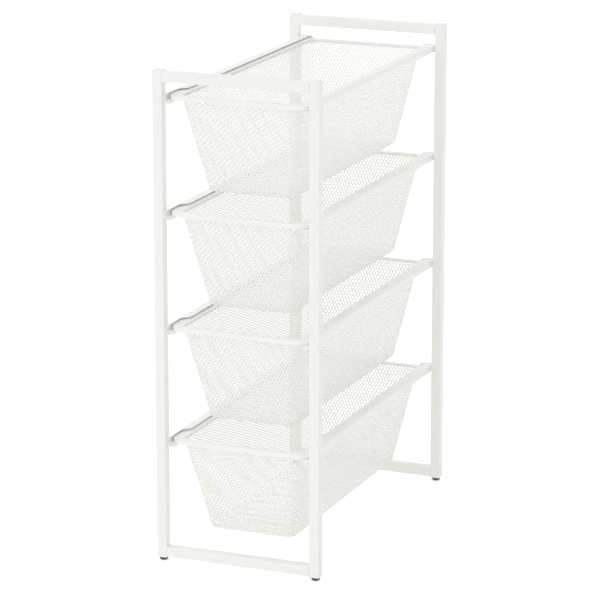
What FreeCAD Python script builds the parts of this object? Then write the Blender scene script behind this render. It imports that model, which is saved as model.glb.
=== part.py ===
import FreeCAD, Part
import math
import os

# Storage frame with four pull-out mesh baskets between two welded end frames.
# Millimetres. X across, Y from front to rear, Z up from the floor.
# The origin is on the floor, in the middle of the four feet.

# Overall size
width = 247.0
depth = 504.0
height = 705.0
levels = 4

# Square steel tube of the two end frames
tube = 15.0
tube_wall = 1.2
tube_corner = 1.6

# Caps and bottom plugs pressed into the posts
plate = 1.5
plate_edge = 0.9
plug_length = 12.0
plug_wall = 2.0
plug_fit = 0.15

# Moulded feet with a stem in the bottom plug
foot_height = 5.0
foot_diameter = 12.0
foot_edge = 2.9
stem_diameter = 6.0
stem_length = 9.0
stem_fit = 0.1

# Folded sheet rails, one pair for each basket
rail_height = 11.0
rail_width = 14.5
rail_sheet = 1.2
rail_bend = 3.4
rail_front_setback = 3.0
rail_rear_setback = 4.5
top_rail_drop = 43.5
entry_lip = 4.6
entry_length = 39.5
entry_ramp = 20.0
mouth_length = 9.0
mouth_drop = 3.5
mouth_corner = 8.0
stop_reach = 23.5
stop_rise = 0.8
stop_corner = 10.0

# Hooks bent out of the rails' webs, and their slots in the posts
hook_height = 4.0
hook_reach = 5.6
hook_drop = 2.0
hook_inset = 2.0
hook_fit = 0.2

# Spring tongue cut free in each rail's web, in front of the rear post
spring_length = 9.0
spring_height = 4.2
spring_gap = 0.7
spring_setback = 1.0

# Folded rim of each basket
rim_height = 6.5
rim_inner_height = 1.6
rim_sheet = 1.0
rim_side_gap = 2.3
rim_seat_gap = 0.3
rim_stop_gap = 0.3
rim_front_setback = 5.0
rim_side_flange = 16.5
rim_end_flange = 9.5
rim_corner = 21.5
rim_edge = 0.8

# Mesh tub of each basket
mesh_sheet = 1.0
tub_corner = 12.0
tub_side_taper = 24.0
tub_end_taper = 36.0
tub_floor_round = 8.0
tub_floor_clearance = 19.0
tub_depth = 134.0

# Diamond net of the tub, drawn coarser than the real mesh
diamond_short = 18.0
diamond_long = 40.0
strand = 4.5
net_margin = 4.0
smallest_gap = 15.0

# Places that follow from the sizes
half_width = width / 2
half_depth = depth / 2
tube_top = height - plate
tube_bottom = foot_height + plate
web_face = half_width - tube
rail_inner = web_face - rail_width
rail_front = -half_depth + rail_front_setback
rail_rear = half_depth - rail_rear_setback
stop_face = rail_rear - rail_sheet
top_level = height - top_rail_drop
lowest_level = foot_height + tube + tub_floor_clearance + tub_depth - rim_seat_gap - rail_sheet
level_pitch = (top_level - lowest_level) / (levels - 1)
rim_half = web_face - rail_sheet - rim_side_gap
rim_front = -half_depth + rim_front_setback
rim_rear = stop_face - rim_stop_gap


def vector(x, y, z):
    return FreeCAD.Vector(x, y, z)


def level_height(level):
    """Underside of the rails at a level, counted from 1 at the top."""
    return top_level - (level - 1) * level_pitch


def rounded_outline(x0, x1, y0, y1, radius, z):
    """Four sides and four corner arcs, in order round the outline, at height z."""
    diagonal = radius * (1 - math.sqrt(0.5))
    corners = ((x1, y0, -1, 1), (x1, y1, -1, -1), (x0, y1, 1, -1), (x0, y0, 1, 1))
    arcs = []
    for index, (x, y, dx, dy) in enumerate(corners):
        beside = vector(x + dx * radius, y, z)
        above = vector(x, y + dy * radius, z)
        middle = vector(x + dx * diagonal, y + dy * diagonal, z)
        ends = (beside, above) if index % 2 == 0 else (above, beside)
        arcs.append(Part.Arc(ends[0], middle, ends[1]).toShape())
    edges = []
    for index, arc in enumerate(arcs):
        following = arcs[(index + 1) % 4]
        edges.append(arc)
        edges.append(Part.makeLine(arc.Vertexes[-1].Point, following.Vertexes[0].Point))
    return edges


def rounded_block(x0, x1, y0, y1, radius, z0, z1):
    """Upright block with rounded vertical edges."""
    face = Part.Face(Part.Wire(rounded_outline(x0, x1, y0, y1, radius, z0)))
    return face.extrude(vector(0, 0, z1 - z0))


def edges_at(shape, z, inset_box=None):
    """Edges that lie at height z, outside the given plan box if there is one."""
    found = []
    for edge in shape.Edges:
        box = edge.BoundBox
        if abs(box.ZMin - z) > 1e-6 or abs(box.ZMax - z) > 1e-6:
            continue
        if inset_box:
            x0, x1, y0, y1 = inset_box
            inside = box.XMin > x0 and box.XMax < x1 and box.YMin > y0 and box.YMax < y1
            if inside:
                continue
        found.append(edge)
    return found


def square_tube(length):
    """Hollow square tube, centred on Z, from height 0 up."""
    half = tube / 2
    bore = half - tube_wall
    bore_corner = max(tube_corner - tube_wall, 0.2)
    outside = rounded_block(-half, half, -half, half, tube_corner, 0, length)
    inside = rounded_block(-bore, bore, -bore, bore, bore_corner, 0, length)
    return outside.cut(inside)


def slab(x0, x1, y0, y1, z0, z1):
    """Plain block between two corners."""
    return Part.makeBox(x1 - x0, y1 - y0, z1 - z0, vector(x0, y0, z0))


def post_place(side, end):
    """Middle of a post: side is -1 left or 1 right, end is -1 front or 1 rear."""
    return vector(side * (half_width - tube / 2), end * (half_depth - tube / 2), 0)


def hook_place(end):
    """Front and rear face of the hooks in the front or rear posts."""
    near = rail_front if end < 0 else half_depth - tube + hook_inset
    return near, near + rail_sheet


def post(side, end):
    """Tube between the cap and the bottom plug, with a slot for a rail's hook at each level."""
    shape = square_tube(tube_top - tube_bottom)
    shape.translate(post_place(side, end) + vector(0, 0, tube_bottom))
    x_in = web_face - hook_fit
    x_out = web_face + tube_wall + hook_fit
    near, far = hook_place(end)
    for level in range(1, levels + 1):
        low = level_height(level) + (rail_height - hook_height) / 2 - hook_fit
        high = low + hook_height + hook_drop + 2 * hook_fit
        slot = slab(x_in, x_out, near - hook_fit, far + hook_fit, low, high)
        shape = shape.cut(slot if side > 0 else left_of(slot))
    return shape


def bar(end, z):
    """Cross bar welded between two posts, with its underside at z."""
    shape = square_tube(width - 2 * tube)
    shape.rotate(vector(0, 0, 0), vector(0, 1, 0), 90)
    shape.translate(vector(-web_face, end * (half_depth - tube / 2), z + tube / 2))
    return shape


def tube_plug(side, end):
    """Plate with rounded edges and a hollow plug below it, top of the plate at height 0."""
    half = tube / 2
    bore = half - tube_wall - plug_fit
    hollow = bore - plug_wall
    cover = rounded_block(-half, half, -half, half, tube_corner, -plate, 0)
    cover = cover.makeFillet(plate_edge, edges_at(cover, 0))
    plug = rounded_block(-bore, bore, -bore, bore, tube_corner / 2, -plate - plug_length, -plate)
    core = rounded_block(-hollow, hollow, -hollow, hollow, tube_corner / 2, -plate - plug_length, -plate)
    return cover.fuse(plug.cut(core)).removeSplitter(), post_place(side, end)


def post_cap(side, end):
    shape, place = tube_plug(side, end)
    shape.translate(place + vector(0, 0, height))
    return shape


def bottom_plug(side, end):
    """The same plug upside down, filled, with a bore for the foot's stem."""
    half = tube / 2
    bore = half - tube_wall - plug_fit
    cover = rounded_block(-half, half, -half, half, tube_corner, 0, plate)
    cover = cover.makeFillet(plate_edge, edges_at(cover, 0))
    plug = rounded_block(-bore, bore, -bore, bore, tube_corner / 2, plate, plate + plug_length)
    stem_bore = Part.makeCylinder(stem_diameter / 2 + stem_fit, plate + plug_length)
    shape = cover.fuse(plug).cut(stem_bore).removeSplitter()
    shape.translate(post_place(side, end) + vector(0, 0, foot_height))
    return shape


def foot(side, end):
    """Round glide that tapers towards the floor, with its stem."""
    pad = Part.makeCylinder(foot_diameter / 2, foot_height)
    pad = pad.makeFillet(foot_edge, edges_at(pad, 0))
    stem = Part.makeCylinder(stem_diameter / 2, stem_length, vector(0, 0, foot_height))
    shape = pad.fuse(stem)
    shape.translate(post_place(side, end))
    return shape


def channel_section():
    """Folded section of the right-hand rail, open towards the middle, underside at height 0."""
    outer = rail_bend
    inner = rail_bend - rail_sheet
    turn = 1 - math.sqrt(0.5)
    back = web_face - rail_bend

    def point(x, z):
        return vector(x, 0, z)

    def bend(start, corner_x, corner_z, end, radius, up):
        middle = point(corner_x - radius * turn, corner_z + up * radius * turn)
        return Part.Arc(start, middle, end).toShape()

    low = 0.0
    high = rail_height
    face = web_face
    lining = web_face - rail_sheet
    a = point(rail_inner, low)
    b = point(back, low)
    c = point(face, low + outer)
    d = point(face, high - outer)
    e = point(back, high)
    f = point(rail_inner, high)
    g = point(rail_inner, high - rail_sheet)
    h = point(back, high - rail_sheet)
    i = point(lining, high - outer)
    j = point(lining, low + outer)
    k = point(back, low + rail_sheet)
    m = point(rail_inner, low + rail_sheet)
    edges = [
        Part.makeLine(a, b),
        bend(b, face, low, c, outer, 1),
        Part.makeLine(c, d),
        bend(d, face, high, e, outer, -1),
        Part.makeLine(e, f),
        Part.makeLine(f, g),
        Part.makeLine(g, h),
        bend(h, lining, high - rail_sheet, i, inner, -1),
        Part.makeLine(i, j),
        bend(j, lining, low + rail_sheet, k, inner, 1),
        Part.makeLine(k, m),
        Part.makeLine(m, a),
    ]
    return Part.Face(Part.Wire(edges))


def entry_cut():
    """Piece taken off the upper lip at its front end, with a smooth run-in."""
    spare = 2.0
    x_lip = rail_inner
    x_entry = web_face - entry_lip
    y_entry = rail_front + entry_length
    y_lip = y_entry + entry_ramp
    x_half = (x_lip + x_entry) / 2
    y_half = (y_entry + y_lip) / 2
    sweep = 2 * math.atan2(x_entry - x_lip, entry_ramp)
    radius = (entry_ramp / 2) / math.sin(sweep)
    quarter_y = radius * math.sin(sweep / 2)
    quarter_x = radius * (1 - math.cos(sweep / 2))

    def point(x, y):
        return vector(x, y, rail_height - 2 * rail_sheet)

    start = point(x_entry, y_entry)
    half = point(x_half, y_half)
    end = point(x_lip, y_lip)
    edges = [
        Part.makeLine(point(x_entry, rail_front - spare), start),
        Part.Arc(start, point(x_entry - quarter_x, y_entry + quarter_y), half).toShape(),
        Part.Arc(half, point(x_lip + quarter_x, y_lip - quarter_y), end).toShape(),
        Part.makeLine(end, point(x_lip - spare, y_lip)),
        Part.makeLine(point(x_lip - spare, y_lip), point(x_lip - spare, rail_front - spare)),
        Part.makeLine(point(x_lip - spare, rail_front - spare), point(x_entry, rail_front - spare)),
    ]
    return Part.Face(Part.Wire(edges)).extrude(vector(0, 0, 3 * rail_sheet))


def stop_tab():
    """Tab that closes the rear end of the channel and stops the basket."""
    x_in = web_face - stop_reach
    block = Part.makeBox(
        stop_reach - rail_bend, rail_sheet, rail_height + stop_rise, vector(x_in, stop_face, 0)
    )
    corner = []
    for edge in block.Edges:
        box = edge.BoundBox
        along_y = box.YLength > rail_sheet / 2
        if along_y and box.XMax < x_in + rail_sheet and box.ZMin > rail_height:
            corner.append(edge)
    return block.makeFillet(stop_corner, corner)


def mouth_tongue():
    """Front end of the lower lip, bent down so that a rim finds its way in."""
    back = rail_front + mouth_length
    profile = [
        vector(rail_inner, back, 0),
        vector(rail_inner, rail_front, -mouth_drop),
        vector(rail_inner, rail_front, rail_sheet - mouth_drop),
        vector(rail_inner, back, rail_sheet),
        vector(rail_inner, back, 0),
    ]
    tongue = Part.Face(Part.makePolygon(profile)).extrude(vector(rail_width - rail_bend, 0, 0))
    corner = rounded_block(rail_inner, web_face + rail_width, rail_front, back + mouth_length,
                           mouth_corner, -mouth_drop, rail_sheet)
    return tongue.common(corner)


def hook(end):
    """Tab bent out of the right-hand rail's web, through the post's wall and down behind it."""
    near, far = hook_place(end)
    low = (rail_height - hook_height) / 2
    behind = web_face + tube_wall + hook_fit
    tip = web_face + hook_reach
    neck = slab(web_face - rail_sheet, tip, near, far, low, low + hook_height)
    return neck.fuse(slab(behind, tip, near, far, low - hook_drop, low))


def hook_opening():
    """Opening that the rear hook was bent out of. The front hook is the end of the web itself."""
    far = hook_place(1)[1]
    low = (rail_height - hook_height) / 2
    return slab(web_face - 2 * rail_sheet, web_face + rail_sheet, far, far + hook_reach,
                low, low + hook_height)


def spring_cut():
    """Slit round three sides of the spring tongue, whose root is next to the rear post."""
    x_in = web_face - 2 * rail_sheet
    x_out = web_face + rail_sheet
    root = half_depth - tube - spring_setback
    tip = root - spring_length
    low = (rail_height - spring_height) / 2
    high = low + spring_height
    around = slab(x_in, x_out, tip - spring_gap, root, low - spring_gap, high + spring_gap)
    return around.cut(slab(x_in, x_out, tip, root, low, high))


def right_rail():
    """Right-hand rail with its underside at height 0."""
    shape = channel_section()
    shape.translate(vector(0, rail_front, 0))
    shape = shape.extrude(vector(0, rail_rear - rail_front, 0))
    lip_front = slab(rail_inner, web_face - rail_bend, rail_front, rail_front + mouth_length, 0, rail_sheet)
    shape = shape.cut([entry_cut(), lip_front, hook_opening(), spring_cut()])
    shape = shape.fuse([mouth_tongue(), stop_tab(), hook(-1), hook(1)])
    return shape.removeSplitter()


def left_of(shape):
    """The same piece on the left-hand side."""
    return shape.mirror(vector(0, 0, 0), vector(1, 0, 0))


def basket_rim():
    """Folded rim, an upturned channel all round, with its underside at height 0."""
    x_in = rim_half - rim_side_flange
    y_in = rim_front + rim_end_flange
    y_out = rim_rear - rim_end_flange
    skirt_in = rim_half - rim_sheet
    skirt_out = x_in + rim_sheet
    lift = rim_height - rim_inner_height
    outside = rounded_block(-rim_half, rim_half, rim_front, rim_rear, rim_corner, 0, rim_height)
    outside = outside.makeFillet(rim_edge, edges_at(outside, rim_height))
    mouth = rounded_block(-x_in, x_in, y_in, y_out, tub_corner, 0, rim_height)
    hollow = rounded_block(-skirt_in, skirt_in, rim_front + rim_sheet, rim_rear - rim_sheet,
                           rim_corner - rim_sheet, 0, rim_height - rim_sheet)
    island = rounded_block(-skirt_out, skirt_out, y_in - rim_sheet, y_out + rim_sheet,
                           tub_corner + rim_sheet, lift, rim_height - rim_sheet)
    shape = outside.cut(hollow.cut(island))
    return shape.cut(mouth)


def stacked_solid(sections):
    """Solid through rounded outlines at rising heights, with flat sides and ruled corners."""
    outlines = [rounded_outline(*section) for section in sections]
    faces = [Part.Face(Part.Wire(outlines[0])), Part.Face(Part.Wire(outlines[-1]))]
    for lower, upper in zip(outlines, outlines[1:]):
        for index in range(len(lower)):
            if index % 2:
                p, q = (vertex.Point for vertex in lower[index].Vertexes)
                r, s = (vertex.Point for vertex in upper[index].Vertexes)
                faces.append(Part.Face(Part.makePolygon([p, q, s, r, p])))
            else:
                faces.append(Part.makeRuledSurface(lower[index], upper[index]))
    shell = Part.makeShell(faces)
    shell.sewShape()
    return Part.makeSolid(shell)


def tub_sections(inset, floor):
    """Outlines of the tub from its floor up, moved in by inset and up by floor.

    The rim's underside is at height 0, and the tub's upright top edge stands behind the rim's inner fold.
    """
    outward = rim_sheet + mesh_sheet - inset
    x_top = rim_half - rim_side_flange + outward
    y_front = rim_front + rim_end_flange - outward
    y_rear = rim_rear - rim_end_flange + outward
    corner = tub_corner + outward
    low = -tub_depth + floor
    high = rim_height - rim_inner_height
    bend = tub_floor_round - inset
    wall = high + tub_depth - tub_floor_round

    def outline(z, pulled_in):
        share = min(max((high - z) / wall, 0.0), 1.0)
        side = tub_side_taper * share + pulled_in
        end = tub_end_taper * share + pulled_in
        radius = max(corner - pulled_in / 2, corner / 2)
        return (-x_top + side, x_top - side, y_front + end, y_rear - end, radius, z)

    middle = math.sqrt(0.5)
    return [
        outline(low, bend),
        outline(low + bend * (1 - middle), bend * (1 - middle)),
        outline(low + bend, 0.0),
        outline(high, 0.0),
        outline(rim_height - rim_sheet, 0.0),
    ]


def clipped(outline, s_share, t_share, limit):
    """Part of a convex outline of (s, t) points where s_share * s + t_share * t is within a limit."""
    kept = []
    for (s0, t0), (s1, t1) in zip(outline, outline[1:] + outline[:1]):
        over0 = s_share * s0 + t_share * t0 - limit
        over1 = s_share * s1 + t_share * t1 - limit
        if over0 <= 0:
            kept.append((s0, t0))
        if over0 * over1 < 0:
            share = over0 / (over0 - over1)
            kept.append((s0 + share * (s1 - s0), t0 + share * (t1 - t0)))
    return kept


def area(outline):
    pairs = zip(outline, outline[1:] + outline[:1])
    return abs(sum(s0 * t1 - s1 * t0 for (s0, t0), (s1, t1) in pairs)) / 2


def diamond_gaps(origin, along, down, half_near, half_far, reach, step_along, step_down):
    """Diamond prisms through a flat wall that runs from origin along down, half_near wide there on each side.

    The diamonds are cut off along the wall's edges, a margin inside them.
    """
    normal = along.cross(down)
    thick = 6 * mesh_sheet
    open_share = 1 - strand * math.hypot(step_along, step_down) / (step_along * step_down)
    across = step_along / 2 * open_share
    tall = step_down / 2 * open_share
    slope = (half_far - half_near) / reach
    columns = int(max(half_near, half_far) / (step_along / 2)) + 1
    rows = int(reach / step_down) + 1
    gaps = []
    for row in range(-rows, rows + 1):
        for column in range(-columns, columns + 1):
            if (row + column) % 2:
                continue
            s = column * step_along / 2
            t = reach / 2 + row * step_down / 2
            outline = [(s, t + tall), (s + across, t), (s, t - tall), (s - across, t)]
            outline = clipped(outline, 0, 1, reach - net_margin)
            outline = clipped(outline, 0, -1, -net_margin)
            outline = clipped(outline, 1, -slope, half_near - net_margin)
            outline = clipped(outline, -1, -slope, half_near - net_margin)
            if area(outline) < smallest_gap:
                continue
            tips = [origin + along * s + down * t - normal * (thick / 2) for s, t in outline]
            gaps.append(Part.Face(Part.makePolygon(tips + tips[:1])).extrude(normal * thick))
    return gaps


def basket_mesh():
    """Tub of diamond mesh, its long diamonds along the sides and floor and upright on the ends."""
    shell = stacked_solid(tub_sections(0.0, 0.0)).cut(stacked_solid(tub_sections(mesh_sheet, mesh_sheet)))
    floor, low_bend, wall_foot, mouth, top_edge = tub_sections(0.0, 0.0)
    gaps = []
    radius = mouth[4]
    y_middle = (mouth[2] + mouth[3]) / 2
    for side in (-1, 1):
        top = vector(side * mouth[1], y_middle, mouth[5])
        foot_point = vector(side * wall_foot[1], y_middle, wall_foot[5])
        reach = (foot_point - top).Length
        gaps += diamond_gaps(top, vector(0, 1, 0), (foot_point - top) / reach,
                             (mouth[3] - mouth[2]) / 2 - radius, (wall_foot[3] - wall_foot[2]) / 2 - radius,
                             reach, diamond_long, diamond_short)
    for index in (2, 3):
        top = vector(0, mouth[index], mouth[5])
        foot_point = vector(0, wall_foot[index], wall_foot[5])
        reach = (foot_point - top).Length
        gaps += diamond_gaps(top, vector(1, 0, 0), (foot_point - top) / reach,
                             mouth[1] - radius, wall_foot[1] - radius, reach, diamond_short, diamond_long)
    gaps += diamond_gaps(vector(0, floor[2], floor[5]), vector(1, 0, 0), vector(0, 1, 0),
                         floor[1], floor[1], floor[3] - floor[2], diamond_short, diamond_long)
    return shell.cut(gaps)


def save(name, shape, place=None):
    """Write one piece, moved to its place, and check that its solids are sound."""
    shape = shape.copy()
    if place:
        shape.translate(place)
    for solid in shape.Solids:
        if not solid.isValid() or solid.Volume <= 0:
            raise ValueError(name + " is not a sound solid")
    shape.exportStep("parts/" + name + ".step")
    print(name, len(shape.Solids), "solids", round(shape.Volume / 1000, 2), "cm3")


os.makedirs("parts", exist_ok=True)

for end_name, end in (("front", -1), ("rear", 1)):
    save(end_name + "_bottom_bar", bar(end, tube_bottom))
    save(end_name + "_top_bar", bar(end, tube_top - tube))
    for side_name, side in (("left", -1), ("right", 1)):
        corner_name = end_name + "_" + side_name
        save(corner_name + "_foot", foot(side, end))
        save(corner_name + "_plug", bottom_plug(side, end))
        save(corner_name + "_post", post(side, end))
        save(corner_name + "_cap", post_cap(side, end))

rail = right_rail()
rim = basket_rim()
mesh = basket_mesh()
for level in range(1, levels + 1):
    rail_z = level_height(level)
    rim_z = rail_z + rail_sheet + rim_seat_gap
    save("rail_%d_right" % level, rail, vector(0, 0, rail_z))
    save("rail_%d_left" % level, left_of(rail), vector(0, 0, rail_z))
    save("basket_%d_rim" % level, rim, vector(0, 0, rim_z))
    save("basket_%d_mesh" % level, mesh, vector(0, 0, rim_z))
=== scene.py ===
import math

import bpy
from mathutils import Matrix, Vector


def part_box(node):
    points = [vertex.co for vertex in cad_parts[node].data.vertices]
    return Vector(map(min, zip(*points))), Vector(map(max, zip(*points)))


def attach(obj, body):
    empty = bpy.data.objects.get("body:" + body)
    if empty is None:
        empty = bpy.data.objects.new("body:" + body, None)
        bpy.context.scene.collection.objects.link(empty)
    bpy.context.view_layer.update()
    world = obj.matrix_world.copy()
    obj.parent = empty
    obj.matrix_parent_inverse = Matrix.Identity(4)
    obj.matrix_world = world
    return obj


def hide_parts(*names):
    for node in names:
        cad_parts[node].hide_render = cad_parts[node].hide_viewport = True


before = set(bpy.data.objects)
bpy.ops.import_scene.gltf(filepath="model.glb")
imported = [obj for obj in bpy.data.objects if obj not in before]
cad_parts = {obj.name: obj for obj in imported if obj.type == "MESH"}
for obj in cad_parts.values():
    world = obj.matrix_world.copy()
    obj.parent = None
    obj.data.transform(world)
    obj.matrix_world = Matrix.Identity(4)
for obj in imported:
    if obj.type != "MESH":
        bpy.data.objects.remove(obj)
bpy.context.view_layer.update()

# Camera: a long lens, in front of the frame and to its right, well above the top bars and looking down.
# The focal length is written in pixels of the square picture, as it was worked out from the edges.
picture_width = 600
focal_pixels = 3221
film_width = 36
far_limit = 100
camera_place = Vector((1.7056, -4.1699, 1.5174))
camera_yaw = math.radians(22.341)
camera_pitch = math.radians(14.745)

camera = bpy.data.objects.new("camera", bpy.data.cameras.new("camera"))
camera.data.sensor_width = film_width
camera.data.lens = focal_pixels / picture_width * film_width
camera.data.clip_end = far_limit
camera.location = camera_place
camera.rotation_euler = (math.pi / 2 - camera_pitch, 0, camera_yaw)
bpy.context.collection.objects.link(camera)
bpy.context.scene.camera = camera
bpy.context.scene.view_settings.view_transform = "Standard"


# Studio: a white seamless floor in a white tent, lit evenly, with a little more from the left and the front.
# The floor is matt white paper; seen straight on it is a little brighter, so that only deep shade shows.
def add_node(tree, kind, values=None, links=None, **settings):
    """One node with its settings, the values of its sockets and the sockets that feed it."""
    node = tree.nodes.new(kind)
    for name, value in settings.items():
        setattr(node, name, value)
    for socket, value in (values or {}).items():
        node.inputs[socket].default_value = value
    for socket, source in (links or {}).items():
        tree.links.new(source, node.inputs[socket])
    return node


def srgb(hex_colour):
    """A colour written as sRGB hex, in the linear values that Blender mixes."""
    parts = [int(hex_colour[i:i + 2], 16) / 255 for i in (1, 3, 5)]
    linear = [p / 12.92 if p <= 0.04045 else ((p + 0.055) / 1.055) ** 2.4 for p in parts]
    return (*linear, 1.0)


def new_material(name):
    """An empty node material and its output node."""
    material = bpy.data.materials.new(name)
    material.use_nodes = True
    material.node_tree.nodes.clear()
    output = add_node(material.node_tree, "ShaderNodeOutputMaterial")
    return material, material.node_tree, output


def seen_straight(tree):
    """1 for rays from the camera, in mirrors or through glass, and 0 for the light that falls on things."""
    path = add_node(tree, "ShaderNodeLightPath")
    mirrored = add_node(tree, "ShaderNodeMath", operation="MAXIMUM",
                        links={0: path.outputs["Is Glossy Ray"], 1: path.outputs["Is Transmission Ray"]})
    return add_node(tree, "ShaderNodeMath", operation="MAXIMUM",
                    links={0: path.outputs["Is Camera Ray"], 1: mirrored.outputs[0]}).outputs[0]


# White pieces pass light on to each other many times over, and the mesh baskets are dim without that.
light_bounces = 12
bpy.context.scene.cycles.diffuse_bounces = light_bounces

studio_light = 0.92
studio_swing = 0.23
brighter_side = (-0.9, -0.44, 0.0)
studio_white = "#FFFFFF"
backdrop_light = 1.0
world = bpy.data.worlds.new("studio")
bpy.context.scene.world = world
world.use_nodes = True
world.node_tree.nodes.clear()
tent_way = add_node(world.node_tree, "ShaderNodeTexCoord").outputs["Generated"]
tent_side = add_node(world.node_tree, "ShaderNodeVectorMath", operation="DOT_PRODUCT",
                     values={1: brighter_side}, links={0: tent_way})
tent_level = add_node(world.node_tree, "ShaderNodeMath", operation="MULTIPLY_ADD",
                      values={1: studio_swing, 2: studio_light}, links={0: tent_side.outputs["Value"]})
even_light = add_node(world.node_tree, "ShaderNodeBackground", values={"Color": srgb(studio_white)},
                      links={"Strength": tent_level.outputs[0]})
backdrop = add_node(world.node_tree, "ShaderNodeBackground",
                    values={"Color": srgb(studio_white), "Strength": backdrop_light})
background = add_node(world.node_tree, "ShaderNodeMixShader",
                      links={0: seen_straight(world.node_tree), 1: even_light.outputs[0],
                             2: backdrop.outputs[0]})
add_node(world.node_tree, "ShaderNodeOutputWorld", links={"Surface": background.outputs[0]})

# Sizes of patterns and pieces are in millimetres from here on, and MM turns them into metres.
MM = 0.001
paper_half = 14000
paper_fibre = 3
fibre_detail = 3
paper_lift = 0.35
paper_grey = "#FBFBFB"
paper_white = "#FEFEFE"
# A Mix node has sockets of one name for each kind of value, so those for colours go by their place.
first_colour = 6
second_colour = 7
mixed_colour = 2
reach = paper_half * MM
floor_mesh = bpy.data.meshes.new("floor")
floor_mesh.from_pydata([(-reach, -reach, 0), (reach, -reach, 0), (reach, reach, 0), (-reach, reach, 0)],
                       [], [(0, 1, 2, 3)])
floor = bpy.data.objects.new("floor", floor_mesh)
bpy.context.collection.objects.link(floor)
paper, tree, output = new_material("matt_white_paper")
spot = add_node(tree, "ShaderNodeTexCoord")
fibres = add_node(tree, "ShaderNodeTexNoise",
                  values={"Scale": 1 / (paper_fibre * MM), "Detail": fibre_detail},
                  links={"Vector": spot.outputs["Object"]})
shade = add_node(tree, "ShaderNodeMix", data_type="RGBA", links={0: fibres.outputs[0]},
                 values={first_colour: srgb(paper_grey), second_colour: srgb(paper_white)})
matt = add_node(tree, "ShaderNodeBsdfDiffuse", links={"Color": shade.outputs[mixed_colour]})
lift = add_node(tree, "ShaderNodeMath", operation="MULTIPLY",
                values={1: paper_lift}, links={0: seen_straight(tree)})
glow = add_node(tree, "ShaderNodeEmission", links={"Strength": lift.outputs[0]})
both = add_node(tree, "ShaderNodeAddShader", links={0: matt.outputs[0], 1: glow.outputs[0]})
tree.links.new(both.outputs[0], output.inputs["Surface"])
floor_mesh.materials.append(paper)


# End frames: two upright ladders of square steel tube, posts and bars welded together and coated as one.
# The coat is baked polyester powder: a warm white satin with a fine orange peel from the powder's flow.
def powder_coat(name, lighter, darker, peel, peel_depth, roughness):
    """A white powder coat whose skin has waves of the size peel, in millimetres, peel_depth high."""
    cloud_size = 60
    cloud_detail = 2
    peel_detail = 2
    peel_crispness = 0.4
    peel_strength = 0.6
    roughness_spread = 0.05
    polyester_ior = 1.5
    material, tree, output = new_material(name)
    spot = add_node(tree, "ShaderNodeTexCoord").outputs["Object"]
    cloud = add_node(tree, "ShaderNodeTexNoise", links={"Vector": spot},
                     values={"Scale": 1 / (cloud_size * MM), "Detail": cloud_detail})
    tone = add_node(tree, "ShaderNodeMix", data_type="RGBA", links={0: cloud.outputs[0]},
                    values={first_colour: srgb(lighter), second_colour: srgb(darker)})
    waves = add_node(tree, "ShaderNodeTexNoise", links={"Vector": spot},
                     values={"Scale": 1 / (peel * MM), "Detail": peel_detail, "Roughness": peel_crispness})
    gloss = add_node(tree, "ShaderNodeMapRange",
                     values={"To Min": roughness - roughness_spread, "To Max": roughness + roughness_spread},
                     links={"Value": waves.outputs[0]})
    skin = add_node(tree, "ShaderNodeBump", links={"Height": waves.outputs[0]},
                    values={"Strength": peel_strength, "Distance": peel_depth * MM})
    coat = add_node(tree, "ShaderNodeBsdfPrincipled", values={"IOR": polyester_ior},
                    links={"Base Color": tone.outputs[mixed_colour], "Roughness": gloss.outputs[0],
                           "Normal": skin.outputs[0]})
    tree.links.new(coat.outputs[0], output.inputs["Surface"])
    return material


def dress(names, material):
    """Gives CAD nodes their finish."""
    for name in names:
        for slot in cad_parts[name].material_slots:
            slot.material = material


ends = ("front", "rear")
sides = ("left", "right")
corners = [f"{end}_{side}" for end in ends for side in sides]
tube_coat = powder_coat("powder_coat_on_tube", "#F9F9F6", "#F6F6F3",
                        peel=2.2, peel_depth=0.05, roughness=0.36)
dress([f"{corner}_post" for corner in corners], tube_coat)
dress([f"{end}_{level}_bar" for end in ends for level in ("top", "bottom")], tube_coat)


# Caps and bottom plugs: pushed into the open tube ends, so that no cut edge shows.
# They are moulded in white polyethylene, a touch softer in gloss than the coat, with a mould grain
# that is drawn coarser than the real one so that it shows.
def moulded_plastic(name, lighter, darker, grain, grain_depth, roughness):
    """A moulded plastic whose mould left a grain of that size and depth, in millimetres."""
    flow_size = 8 * grain
    flow_detail = 3
    grain_strength = 0.5
    roughness_spread = 0.06
    plastic_ior = 1.51
    material, tree, output = new_material(name)
    spot = add_node(tree, "ShaderNodeTexCoord").outputs["Object"]
    spots = add_node(tree, "ShaderNodeTexVoronoi", values={"Scale": 1 / (grain * MM)}, links={"Vector": spot})
    flow = add_node(tree, "ShaderNodeTexNoise", links={"Vector": spot},
                    values={"Scale": 1 / (flow_size * MM), "Detail": flow_detail})
    tone = add_node(tree, "ShaderNodeMix", data_type="RGBA", links={0: flow.outputs[0]},
                    values={first_colour: srgb(lighter), second_colour: srgb(darker)})
    gloss = add_node(tree, "ShaderNodeMapRange",
                     values={"To Min": roughness - roughness_spread, "To Max": roughness + roughness_spread},
                     links={"Value": flow.outputs[0]})
    skin = add_node(tree, "ShaderNodeBump", links={"Height": spots.outputs["Distance"]},
                    values={"Strength": grain_strength, "Distance": grain_depth * MM})
    plastic = add_node(tree, "ShaderNodeBsdfPrincipled", values={"IOR": plastic_ior},
                       links={"Base Color": tone.outputs[mixed_colour], "Roughness": gloss.outputs[0],
                              "Normal": skin.outputs[0]})
    tree.links.new(plastic.outputs[0], output.inputs["Surface"])
    return material


cap_plastic = moulded_plastic("white_polyethylene", "#F8F8F5", "#F4F4F1",
                              grain=0.8, grain_depth=0.03, roughness=0.45)
dress([f"{corner}_{piece}" for corner in corners for piece in ("cap", "plug")], cap_plastic)


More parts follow.
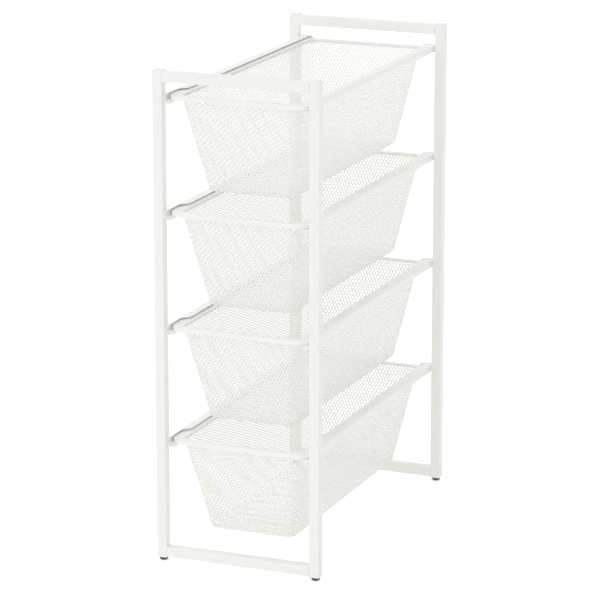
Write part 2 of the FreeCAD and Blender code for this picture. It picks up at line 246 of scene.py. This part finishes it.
# Feet: four round glides that press into the bottom plugs and keep the tubes off the floor.
# They are moulded in dark grey polypropylene and nearly matt.
foot_plastic = moulded_plastic("grey_polypropylene", "#5A5B5C", "#4A4B4C",
                               grain=0.6, grain_depth=0.05, roughness=0.55)
dress([f"{corner}_foot" for corner in corners], foot_plastic)


# Rails: a right-hand and a left-hand channel at each level, bent from steel sheet and hooked into the posts.
# They have the frame's powder coat, a little finer because thin sheet heats through sooner.
rail_coat = powder_coat("powder_coat_on_rail", "#FBFBF8", "#F9F9F6",
                        peel=1.8, peel_depth=0.04, roughness=0.36)
level_count = 4
level_names = [str(level) for level in range(1, level_count + 1)]
dress([f"rail_{level}_{side}" for level in level_names for side in sides], rail_coat)


# Basket rims: a frame of folded steel sheet round the mouth of each tub, with a flat top and a short skirt.
# The rim is spot welded to the mesh inside the fold, and both are powder coated together. The coat's skin
# is as fine as on the rails, and a touch glossier.
rim_coat = powder_coat("powder_coat_on_rim", "#FBFBF8", "#F9F9F6",
                       peel=1.8, peel_depth=0.04, roughness=0.34)
dress([f"basket_{level}_rim" for level in level_names], rim_coat)


# Basket tubs: one cross-shaped blank of expanded steel, its four flaps folded up and welded at the corners.
# The diamonds' long diagonals run from front to back, so they lie flat on the sides and stand on the ends.
# The sides' strands are drawn thinner than those of the floor and the ends, as their rows are closer.
diamond_long = 9.85
diamond_floor = 4.97
diamond_side = 4.05
side_strand = 1.4
end_strand = 1.65
sheet_thickness = 0.5
floor_bend = 8.0
corner_radius = 14.0
side_taper = 32.0
end_taper = 44.0
smallest_cut = 0.3
lean_rounds = 20
place_digits = 3

tub_low, tub_high = [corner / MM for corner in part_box("basket_1_mesh")]
tub_depth = tub_high.z - tub_low.z
tub_middle = (tub_low.y + tub_high.y) / 2
floor_half_width = tub_high.x - side_taper
floor_half_length = (tub_high.y - tub_low.y) / 2 - end_taper


def lean_of(taper):
    """How far a wall leans out that leaves the bend at its foot as a tangent."""
    lean = 0
    for _ in range(lean_rounds):
        bend_out, bend_up = floor_bend * math.cos(lean), floor_bend * (1 - math.sin(lean))
        lean = math.atan2(taper - bend_out, tub_depth - bend_up)
    return lean


side_lean = lean_of(side_taper)
end_lean = lean_of(end_taper)


def fold(run, lean):
    """How far out and up a point of the flat blank comes that lies run outside the floor's edge."""
    turn = min(run / floor_bend, math.pi / 2 - lean)
    rest = run - floor_bend * turn
    out = floor_bend * math.sin(turn) + rest * math.sin(lean)
    up = floor_bend * (1 - math.cos(turn)) + rest * math.cos(lean)
    return out, up


def wall_out(up, lean):
    """How far outside the floor's edge a wall is at a height."""
    turn = math.pi / 2 - lean
    bend_out, bend_up = fold(floor_bend * turn, lean)
    if up < bend_up:
        return floor_bend * math.sin(math.acos(1 - up / floor_bend))
    return bend_out + (up - bend_up) * math.tan(lean)


def round_corner(along, half_wall, half_across):
    """A point of a wall, carried onto the rounded upright corner where it lies past the straight part."""
    past = abs(along) - (half_wall - corner_radius)
    if past <= 0:
        return along, half_across
    angle = min(past / corner_radius, 1) * math.pi / 4
    turned = half_wall - corner_radius + corner_radius * math.sin(angle)
    return math.copysign(turned, along), half_across - corner_radius * (1 - math.cos(angle))


def folded_side(y, x):
    """Where a point of the blank lies once the side flaps are up."""
    run = abs(x) - floor_half_width
    if run <= 0:
        return x, y, 0
    out, up = fold(run, side_lean)
    y, half_x = round_corner(y, floor_half_length + wall_out(up, end_lean), floor_half_width + out)
    return math.copysign(half_x, x), y, up


def folded_end(y, x):
    """Where a point of the blank lies once the end flaps are up."""
    run = abs(y) - floor_half_length
    if run <= 0:
        return folded_side(y, x)
    out, up = fold(run, end_lean)
    x, half_y = round_corner(x, floor_half_width + wall_out(up, side_lean), floor_half_length + out)
    return x, math.copysign(half_y, y), up


def flap_edges(lean, half_floor, other_lean, other_half_floor):
    """A flap's height on the blank, and its sloping edge along its bend and its wall, as (slope, start)."""
    bend_run = floor_bend * (math.pi / 2 - lean)
    bend_up = fold(bend_run, lean)[1]
    top_run = bend_run + (tub_depth - bend_up) / math.cos(lean)
    bend_slope = wall_out(bend_up, other_lean) / bend_run
    wall_slope = (wall_out(tub_depth, other_lean) - wall_out(bend_up, other_lean)) / (top_run - bend_run)
    bend_start = other_half_floor - bend_slope * half_floor
    wall_start = bend_start + (bend_slope - wall_slope) * (half_floor + bend_run)
    return half_floor + top_run, [(bend_slope, bend_start), (wall_slope, wall_start)]


def clip(shape, y_share, x_share, limit):
    """The part of a convex outline where y_share * y + x_share * x is within a limit."""
    kept = []
    for p, q in zip(shape, shape[1:] + shape[:1]):
        p_over = y_share * p[0] + x_share * p[1] - limit
        q_over = y_share * q[0] + x_share * q[1] - limit
        if p_over <= 0:
            kept.append(p)
        if p_over * q_over < 0:
            t = p_over / (p_over - q_over)
            kept.append((p[0] + t * (q[0] - p[0]), p[1] + t * (q[1] - p[1])))
    return kept


def large_enough(shape):
    """False for the crumbs that a cut leaves, under smallest_cut in square millimetres."""
    twice = sum(p[0] * q[1] - q[0] * p[1] for p, q in zip(shape, shape[1:] + shape[:1]))
    return twice / 2 > smallest_cut


floor_rows = math.ceil(2 * floor_half_width / diamond_floor)


def even_row(step):
    """How far a row lies from the blank's middle line on the floor and the ends."""
    return step * diamond_floor / 2


def side_row(step):
    """The same on the sides, where the press draws the rows closer together."""
    over = max(abs(step) - floor_rows, 0)
    return math.copysign(even_row(abs(step) - over) + over * diamond_side / 2, step)


def diamond(column, row, row_place):
    """The outline of one diamond of the blank, as (y, x) points."""
    y, x = column * diamond_long / 2, row_place(row)
    half = diamond_long / 2
    return [(y - half, x), (y, row_place(row - 1)), (y + half, x), (y, row_place(row + 1))]


def side_diamonds():
    """The diamonds of both side walls on the tub, cut where the walls meet the ends and the rim."""
    top, edges = flap_edges(side_lean, floor_half_width, end_lean, floor_half_length)
    last_row = floor_rows + math.ceil(2 * (top - even_row(floor_rows)) / diamond_side)
    last_column = math.ceil((tub_high.y - tub_low.y) / diamond_long) + 1
    for row in range(floor_rows + 1, last_row + 1):
        for column in range(-last_column, last_column + 1):
            if (row + column) % 2:
                continue
            shape = clip(diamond(column, row, side_row), 0, 1, top)
            for slope, start in edges:
                shape = clip(shape, 1, -slope, start)
                shape = clip(shape, -1, -slope, start)
            if large_enough(shape):
                yield [folded_side(y, x) for y, x in shape]
                yield [folded_side(y, -x) for y, x in reversed(shape)]


def end_diamonds():
    """The diamonds of the floor and both end walls on the tub, cut where they meet the sides and the rim."""
    top, edges = flap_edges(end_lean, floor_half_length, side_lean, floor_half_width)
    last_column = math.ceil(2 * top / diamond_long)
    last_row = math.ceil(2 * tub_high.x / diamond_floor)
    for column in range(-last_column, last_column + 1):
        on_floor = abs(column) * diamond_long / 2 <= floor_half_length
        end = math.copysign(1, column)
        rows = floor_rows if on_floor else last_row
        for row in range(-rows, rows + 1):
            if (row + column) % 2:
                continue
            if on_floor:
                shape = diamond(column, row, side_row)
            else:
                shape = clip(diamond(column, row, even_row), end, 0, top)
                for slope, start in edges:
                    shape = clip(shape, -slope * end, 1, start)
                    shape = clip(shape, -slope * end, -1, start)
            if large_enough(shape):
                yield [folded_end(y, x) for y, x in shape]


def diamond_sheet(name, shapes, floor_height):
    """A mesh with one face for each diamond, in metres, with the tub's floor at a height."""
    points = {}
    faces = []
    for shape in shapes:
        places = [tuple(round(value, place_digits) for value in place) for place in shape]
        faces.append([points.setdefault(place, len(points)) for place in dict.fromkeys(places)])
    lift = Vector((0, tub_middle, floor_height))
    mesh = bpy.data.meshes.new(name)
    mesh.from_pydata([(Vector(place) + lift) * MM for place in points], [], [f for f in faces if len(f) > 2])
    return mesh


def opening_share(diamond_short, strand):
    """How much of a diamond stays open when each of its sides gives up half a strand."""
    half_long, half_short = diamond_long / 2, diamond_short / 2
    side_distance = half_long * half_short / math.hypot(half_long, half_short)
    return 1 - strand / 2 / side_distance


def expanded_metal_tree():
    """Cuts an opening in each face of a sheet, so that strands of one width are left between the faces."""
    tree = bpy.data.node_groups.new("expanded_metal", "GeometryNodeTree")
    tree.interface.new_socket("Sheet", in_out="INPUT", socket_type="NodeSocketGeometry")
    tree.interface.new_socket("Opening", in_out="INPUT", socket_type="NodeSocketFloat")
    tree.interface.new_socket("Coat", in_out="INPUT", socket_type="NodeSocketMaterial")
    tree.interface.new_socket("Net", in_out="OUTPUT", socket_type="NodeSocketGeometry")
    given = add_node(tree, "NodeGroupInput").outputs
    inset = add_node(tree, "GeometryNodeExtrudeMesh", mode="FACES",
                     values={"Offset Scale": 0.0, "Individual": True}, links={"Mesh": given["Sheet"]})
    shrunk = add_node(tree, "GeometryNodeScaleElements", domain="FACE",
                      links={"Geometry": inset.outputs["Mesh"], "Selection": inset.outputs["Top"],
                             "Scale": given["Opening"]})
    opened = add_node(tree, "GeometryNodeDeleteGeometry", domain="FACE", mode="ONLY_FACE",
                      links={"Geometry": shrunk.outputs[0], "Selection": inset.outputs["Top"]})
    real = add_node(tree, "GeometryNodeRealizeInstances", links={"Geometry": opened.outputs[0]})
    coated = add_node(tree, "GeometryNodeSetMaterial",
                      links={"Geometry": real.outputs[0], "Material": given["Coat"]})
    add_node(tree, "NodeGroupOutput", links={"Net": coated.outputs[0]})
    return tree


def expanded_metal(name, shapes, opening, floor_height, tree, coat):
    """A piece of net, as a plain mesh with its thickness inside the tub's outer face."""
    sheet = bpy.data.objects.new(name + "_sheet", diamond_sheet(name, shapes, floor_height))
    bpy.context.collection.objects.link(sheet)
    cutter = sheet.modifiers.new("openings", "NODES")
    cutter.node_group = tree
    inputs = {item.name: item.identifier for item in tree.interface.items_tree if item.in_out == "INPUT"}
    cutter[inputs["Opening"]] = opening
    cutter[inputs["Coat"]] = coat
    wall = sheet.modifiers.new("thickness", "SOLIDIFY")
    wall.thickness = sheet_thickness * MM
    wall.offset = -1
    evaluated = sheet.evaluated_get(bpy.context.evaluated_depsgraph_get())
    piece = bpy.data.objects.new(name, bpy.data.meshes.new_from_object(evaluated))
    bpy.data.objects.remove(sheet)
    bpy.context.collection.objects.link(piece)
    return piece


# The coat runs thin on the strands, so its orange peel is finer there and the white a little cleaner.
mesh_coat = powder_coat("powder_coat_on_mesh", "#FCFCF9", "#FAFAF7",
                        peel=1.2, peel_depth=0.03, roughness=0.36)
net_tree = expanded_metal_tree()
nets = {"side": (list(side_diamonds()), opening_share(diamond_side, side_strand)),
        "end": (list(end_diamonds()), opening_share(diamond_floor, end_strand))}
for level in level_names:
    tub = f"basket_{level}_mesh"
    floor_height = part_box(tub)[0].z / MM
    for part, (shapes, opening) in nets.items():
        name = f"basket_{level}_{part}_net"
        net = expanded_metal(name, shapes, opening, floor_height, net_tree, mesh_coat)
        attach(net, f"basket_{level}")
        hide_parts(tub)
